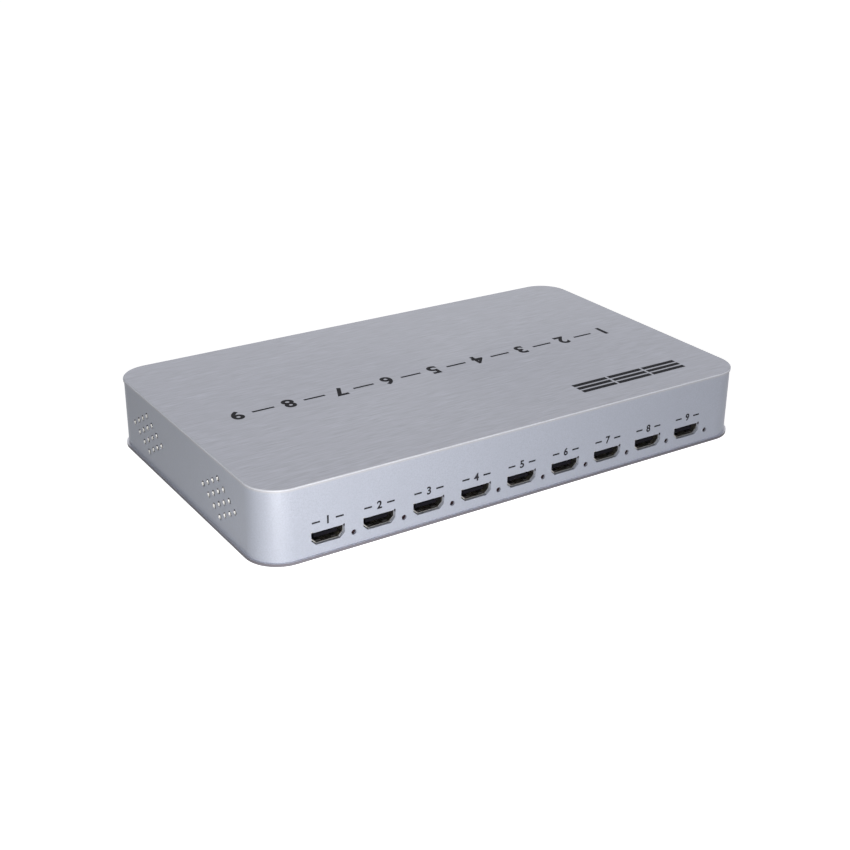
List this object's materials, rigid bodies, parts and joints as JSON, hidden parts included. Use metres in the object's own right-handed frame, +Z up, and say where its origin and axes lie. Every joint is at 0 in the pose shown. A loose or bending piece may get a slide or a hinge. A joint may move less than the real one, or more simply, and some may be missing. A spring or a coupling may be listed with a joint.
{
  "type": "video wall controller",
  "caption": "Flat brushed and blasted aluminium box that splits one video input over a row of video output sockets.",
  "frame": {"origin": "under the middle of the case, in the plane of the feet's undersides", "axes": "+X along the long walls, from the first output socket to the last; the output sockets face -Y; +Z up"},
  "size_m": [0.2512, 0.1502, 0.0348],
  "materials": {
    "blasted_aluminium": "bead-blasted and clear anodised, satin",
    "brushed_aluminium": "fine brushed grain along the length, clear anodised, bright cut edge",
    "plate_steel": "plain zinc-plated sheet",
    "turned_steel": "turned, zinc-plated",
    "screw_steel": "nickel-plated",
    "foot_rubber": "matt black rubber",
    "board_laminate": "green solder mask over glass laminate",
    "standoff_brass": "turned brass",
    "light_resin": "dark red-tinted clear resin, unlit",
    "chip_resin": "moulded black epoxy",
    "pad_silicone": "soft silicone sheet",
    "sink_aluminium": "extruded, dark anodised",
    "pin_nylon": "natural nylon",
    "crystal_can": "drawn nickel-silver can",
    "inductor_ferrite": "grey ferrite",
    "capacitor_can": "drawn aluminium can on a black base",
    "socket_shell": "nickel-plated folded sheet",
    "socket_plastic": "black moulded plastic",
    "contact_metal": "plated contact metal",
    "header_plastic": "green moulded plastic",
    "switch_plastic": "black moulded plastic",
    "stem_plastic": "natural moulded plastic",
    "button_metal": "turned and clear anodised",
    "key_plastic": "black moulded plastic",
    "window_acrylic": "dark red acrylic that passes infrared",
    "receiver_resin": "dark filter resin"
  },
  "bodies": {
    "housing": {"board_screws": "screw_steel", "board_standoffs": "standoff_brass", "bottom_plate": "plate_steel", "can_capacitors": "capacitor_can", "case_screws": "screw_steel", "control_chip": "chip_resin", "crystal": "crystal_can", "dc_jack": "socket_plastic", "dc_jack_pin": "contact_metal", "hdmi_in_insert": "socket_plastic", "hdmi_in_shell": "socket_shell", "hdmi_out_insert_1": "socket_plastic", "hdmi_out_insert_2": "socket_plastic", "hdmi_out_insert_3": "socket_plastic", "hdmi_out_insert_4": "socket_plastic", "hdmi_out_insert_5": "socket_plastic", "hdmi_out_insert_6": "socket_plastic", "hdmi_out_insert_7": "socket_plastic", "hdmi_out_insert_8": "socket_plastic", "hdmi_out_insert_9": "socket_plastic", "hdmi_out_shell_1": "socket_shell", "hdmi_out_shell_2": "socket_shell", "hdmi_out_shell_3": "socket_shell", "hdmi_out_shell_4": "socket_shell", "hdmi_out_shell_5": "socket_shell", "hdmi_out_shell_6": "socket_shell", "hdmi_out_shell_7": "socket_shell", "hdmi_out_shell_8": "socket_shell", "hdmi_out_shell_9": "socket_shell", "heat_sink": "sink_aluminium", "heat_sink_pins": "pin_nylon", "input_receiver_chip": "chip_resin", "ir_receiver": "receiver_resin", "ir_window": "window_acrylic", "key_switches": "switch_plastic", "lid_bosses": "turned_steel", "main_board": "board_laminate", "memory_chips": "chip_resin", "output_driver_chips": "chip_resin", "output_lights": "light_resin", "power_inductors": "inductor_ferrite", "power_switch": "switch_plastic", "rubber_feet": "foot_rubber", "serial_header": "header_plastic", "serial_pins": "contact_metal", "status_light": "light_resin", "thermal_pad": "pad_silicone", "top_panel": "brushed_aluminium", "usb_insert": "socket_plastic", "usb_shell": "socket_shell", "video_processor": "chip_resin", "wall_frame": "blasted_aluminium"},
    "power_button": {"power_button": "button_metal", "power_stem": "stem_plastic"},
    "key_1": {"key_1": "key_plastic"},
    "key_2": {"key_2": "key_plastic"},
    "key_3": {"key_3": "key_plastic"}
  },
  "joints": [
    {"name": "power_button_press", "type": "slide", "parent": "housing", "child": "power_button", "axis": [0, -1, 0], "range_m": [0, 0.0015], "stiffness_N_per_m": 1300, "springref_m": -0.0004},
    {"name": "key_1_press", "type": "slide", "parent": "housing", "child": "key_1", "axis": [0, -1, 0], "range_m": [0, 0.0003], "stiffness_N_per_m": 5000, "springref_m": -0.0001},
    {"name": "key_2_press", "type": "slide", "parent": "housing", "child": "key_2", "axis": [0, -1, 0], "range_m": [0, 0.0003], "stiffness_N_per_m": 5000, "springref_m": -0.0001},
    {"name": "key_3_press", "type": "slide", "parent": "housing", "child": "key_3", "axis": [0, -1, 0], "range_m": [0, 0.0003], "stiffness_N_per_m": 5000, "springref_m": -0.0001}
  ]
}
